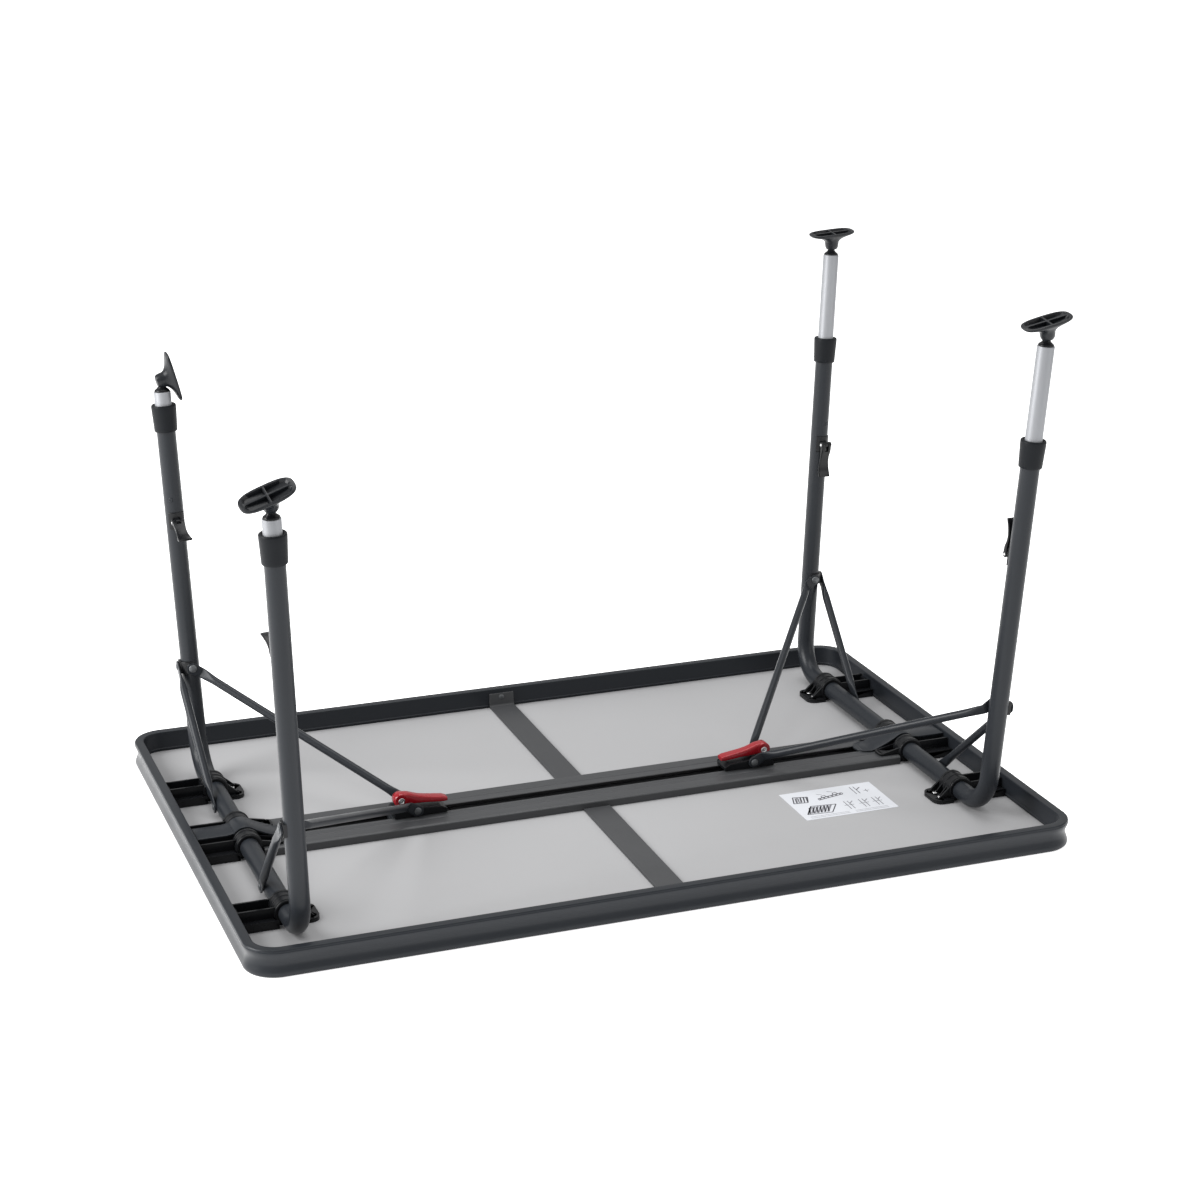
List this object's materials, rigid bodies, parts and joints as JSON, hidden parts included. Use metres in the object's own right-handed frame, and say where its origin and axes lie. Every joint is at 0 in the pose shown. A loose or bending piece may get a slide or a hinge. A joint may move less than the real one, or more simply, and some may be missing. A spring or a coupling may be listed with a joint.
{
  "type": "folding table",
  "caption": "Folding camping table with framed top, two fold-in leg frames on sliding struts, telescopic legs with cam clamps and tilting feet.",
  "frame": {"origin": "centre of the tabletop's use face, which is the plane z = 0; the table is modelled lying on its top with both leg frames raised, and turning it over by 180 degrees about X or Y puts it in use", "axes": "+X along the tabletop's length, +Y across its width, +Z away from the use face, towards the feet"},
  "size_m": [1, 0.68, 0.6308],
  "materials": {
    "frame_anthracite": "satin powder coat",
    "frame_aluminium": "satin powder coat",
    "panel_laminate": "matt laminate",
    "bar_metal": "satin",
    "black_plastic": "satin moulded",
    "anodised_tube": "satin anodised",
    "steel": "zinc plated",
    "red_plastic": "glossy moulded",
    "label": "printed label"
  },
  "bodies": {
    "table": {"tabletop_panel": "panel_laminate", "frame_half_left": "frame_aluminium", "frame_half_right": "frame_aluminium", "cross_bar_front": "bar_metal", "cross_bar_back": "bar_metal", "centre_rail": "frame_aluminium", "hinge_straps": "frame_anthracite", "bracket_screws": "steel", "bar_rivets": "steel", "instruction_label": "label", "hinge_bracket_left_front": "black_plastic", "hinge_bracket_left_centre": "black_plastic", "hinge_bracket_left_back": "black_plastic", "hinge_bracket_right_front": "black_plastic", "hinge_bracket_right_centre": "black_plastic", "hinge_bracket_right_back": "black_plastic"},
    "leg_frame_left": {"leg_tube_left": "frame_anthracite", "leg_collars_left": "black_plastic", "strut_clamps_left": "black_plastic", "short_struts_left": "frame_anthracite", "strut_rivets_left": "steel", "cam_housings_left": "black_plastic", "cam_pins_left": "steel"},
    "long_struts_left": {"long_strut_left_front": "frame_anthracite", "long_strut_left_back": "frame_anthracite", "strut_end_rivets_left": "steel"},
    "slider_left": {"slider_body_left": "black_plastic", "slider_nut_left": "steel", "slider_pin_left": "steel"},
    "slider_lever_left": {"slider_lever_left": "red_plastic"},
    "telescope_left_front": {"inner_tube_left_front": "anodised_tube", "foot_stud_left_front": "black_plastic"},
    "foot_left_front": {"foot_left_front": "black_plastic"},
    "cam_lever_left_front": {"cam_lever_left_front": "black_plastic"},
    "telescope_left_back": {"inner_tube_left_back": "anodised_tube", "foot_stud_left_back": "black_plastic"},
    "foot_left_back": {"foot_left_back": "black_plastic"},
    "cam_lever_left_back": {"cam_lever_left_back": "black_plastic"},
    "leg_frame_right": {"leg_tube_right": "frame_anthracite", "leg_collars_right": "black_plastic", "strut_clamps_right": "black_plastic", "short_struts_right": "frame_anthracite", "strut_rivets_right": "steel", "cam_housings_right": "black_plastic", "cam_pins_right": "steel"},
    "long_struts_right": {"long_strut_right_front": "frame_anthracite", "long_strut_right_back": "frame_anthracite", "strut_end_rivets_right": "steel"},
    "slider_right": {"slider_body_right": "black_plastic", "slider_nut_right": "steel", "slider_pin_right": "steel"},
    "slider_lever_right": {"slider_lever_right": "red_plastic"},
    "telescope_right_front": {"inner_tube_right_front": "anodised_tube", "foot_stud_right_front": "black_plastic"},
    "foot_right_front": {"foot_right_front": "black_plastic"},
    "cam_lever_right_front": {"cam_lever_right_front": "black_plastic"},
    "telescope_right_back": {"inner_tube_right_back": "anodised_tube", "foot_stud_right_back": "black_plastic"},
    "foot_right_back": {"foot_right_back": "black_plastic"},
    "cam_lever_right_back": {"cam_lever_right_back": "black_plastic"}
  },
  "joints": [
    {"name": "leg_fold_left", "type": "hinge", "parent": "table", "child": "leg_frame_left", "pos_m": [-0.43, 0, 0.019], "axis": [0, 1, 0], "range_deg": [0, 88]},
    {"name": "strut_turn_left", "type": "hinge", "parent": "leg_frame_left", "child": "long_struts_left", "pos_m": [-0.43506, -0.026, 0.1508], "axis": [0, 1, 0], "range_deg": [-117.9, 0]},
    {"name": "slider_travel_left", "type": "slide", "parent": "table", "child": "slider_left", "axis": [1, 0, 0], "range_m": [0, 0.17103]},
    {"name": "slider_clamp_left", "type": "hinge", "parent": "slider_left", "child": "slider_lever_left", "pos_m": [-0.23602, 0, 0.036], "axis": [0, -1, 0], "range_deg": [0, 90]},
    {"name": "telescope_left_front", "type": "slide", "parent": "leg_frame_left", "child": "telescope_left_front", "axis": [0.0384, 0.0401, -0.9985], "range_m": [-0.175, 0]},
    {"name": "foot_tilt_left_front", "type": "hinge", "parent": "telescope_left_front", "child": "foot_left_front", "pos_m": [-0.44897, -0.30784, 0.51274], "axis": [0.0015, -0.9992, -0.0401], "range_deg": [-98, 62]},
    {"name": "cam_clamp_left_front", "type": "hinge", "parent": "leg_frame_left", "child": "cam_lever_left_front", "pos_m": [-0.44234, -0.2839, 0.34019], "axis": [0.9993, 0, 0.0384], "range_deg": [-8, 72]},
    {"name": "telescope_left_back", "type": "slide", "parent": "leg_frame_left", "child": "telescope_left_back", "axis": [0.0384, -0.0401, -0.9985], "range_m": [-0.175, 0]},
    {"name": "foot_tilt_left_back", "type": "hinge", "parent": "telescope_left_back", "child": "foot_left_back", "pos_m": [-0.44897, 0.25584, 0.51274], "axis": [-0.0015, -0.9992, 0.0401], "range_deg": [-2, 158]},
    {"name": "cam_clamp_left_back", "type": "hinge", "parent": "leg_frame_left", "child": "cam_lever_left_back", "pos_m": [-0.44234, 0.2319, 0.34019], "axis": [0.9993, 0, 0.0384], "range_deg": [-8, 72]},
    {"name": "leg_fold_right", "type": "hinge", "parent": "table", "child": "leg_frame_right", "pos_m": [0.43, 0, 0.019], "axis": [0, -1, 0], "range_deg": [0, 89.2]},
    {"name": "strut_turn_right", "type": "hinge", "parent": "leg_frame_right", "child": "long_struts_right", "pos_m": [0.43782, 0.026, 0.15066], "axis": [0, -1, 0], "range_deg": [-119, 0]},
    {"name": "slider_travel_right", "type": "slide", "parent": "table", "child": "slider_right", "axis": [-1, 0, 0], "range_m": [0, 0.17371]},
    {"name": "slider_clamp_right", "type": "hinge", "parent": "slider_right", "child": "slider_lever_right", "pos_m": [0.2387, 0, 0.036], "axis": [0, 1, 0], "range_deg": [0, 90]},
    {"name": "telescope_right_front", "type": "slide", "parent": "leg_frame_right", "child": "telescope_right_front", "axis": [-0.0593, 0.0401, -0.9974], "range_m": [-0.08, 0.095]},
    {"name": "foot_tilt_right_front", "type": "hinge", "parent": "telescope_right_front", "child": "foot_right_front", "pos_m": [0.46493, -0.25966, 0.60699], "axis": [0.0024, 0.9992, 0.0401], "range_deg": [-64.6, 95.4]},
    {"name": "cam_clamp_right_front", "type": "hinge", "parent": "leg_frame_right", "child": "cam_lever_right_front", "pos_m": [0.4467, -0.23206, 0.33999], "axis": [0.9889, 0.1391, -0.0532], "range_deg": [-80, 0]},
    {"name": "telescope_right_back", "type": "slide", "parent": "leg_frame_right", "child": "telescope_right_back", "axis": [-0.0593, -0.0401, -0.9974], "range_m": [-0.08, 0.095]},
    {"name": "foot_tilt_right_back", "type": "hinge", "parent": "telescope_right_back", "child": "foot_right_back", "pos_m": [0.46493, 0.31166, 0.60699], "axis": [-0.0024, 0.9992, -0.0401], "range_deg": [-73.2, 86.8]},
    {"name": "cam_clamp_right_back", "type": "hinge", "parent": "leg_frame_right", "child": "cam_lever_right_back", "pos_m": [0.45142, 0.28406, 0.33971], "axis": [0.9882, 0.1391, -0.0643], "range_deg": [-80, 0]}
  ],
  "couplings": [
    {"joint": "strut_turn_left", "follows": "leg_fold_left", "ratio": -1.3338},
    {"joint": "slider_travel_left", "follows": "leg_fold_left", "m_per_rad": 0.11103},
    {"joint": "strut_turn_right", "follows": "leg_fold_right", "ratio": -1.3289},
    {"joint": "slider_travel_right", "follows": "leg_fold_right", "m_per_rad": 0.11126}
  ]
}
